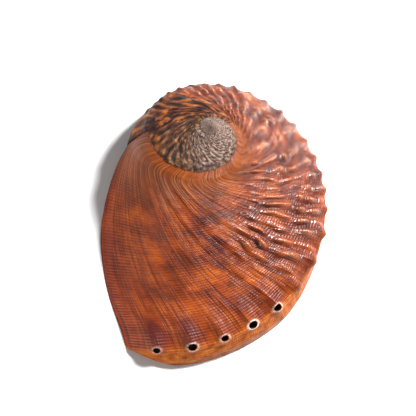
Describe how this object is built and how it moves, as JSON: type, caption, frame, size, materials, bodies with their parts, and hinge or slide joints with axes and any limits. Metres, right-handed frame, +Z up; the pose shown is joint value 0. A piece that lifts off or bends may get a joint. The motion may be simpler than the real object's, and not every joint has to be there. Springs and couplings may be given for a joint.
{
  "type": "abalone shell",
  "caption": "Low domed ear-shaped sea shell with a small coiled spire, a row of breathing holes along one shoulder and an open hollow underside.",
  "frame": {"origin": "centre of the bounding box on the ground plane the open rim rests on", "axes": "+X along the long axis towards the newest holes, +Z up out of the back of the shell"},
  "size_m": [0.1208, 0.09, 0.0398],
  "materials": {
    "shell": "glossy orange-brown shell outside, nacre inside"
  },
  "bodies": {
    "root": {"shell": "shell"}
  },
  "joints": []
}
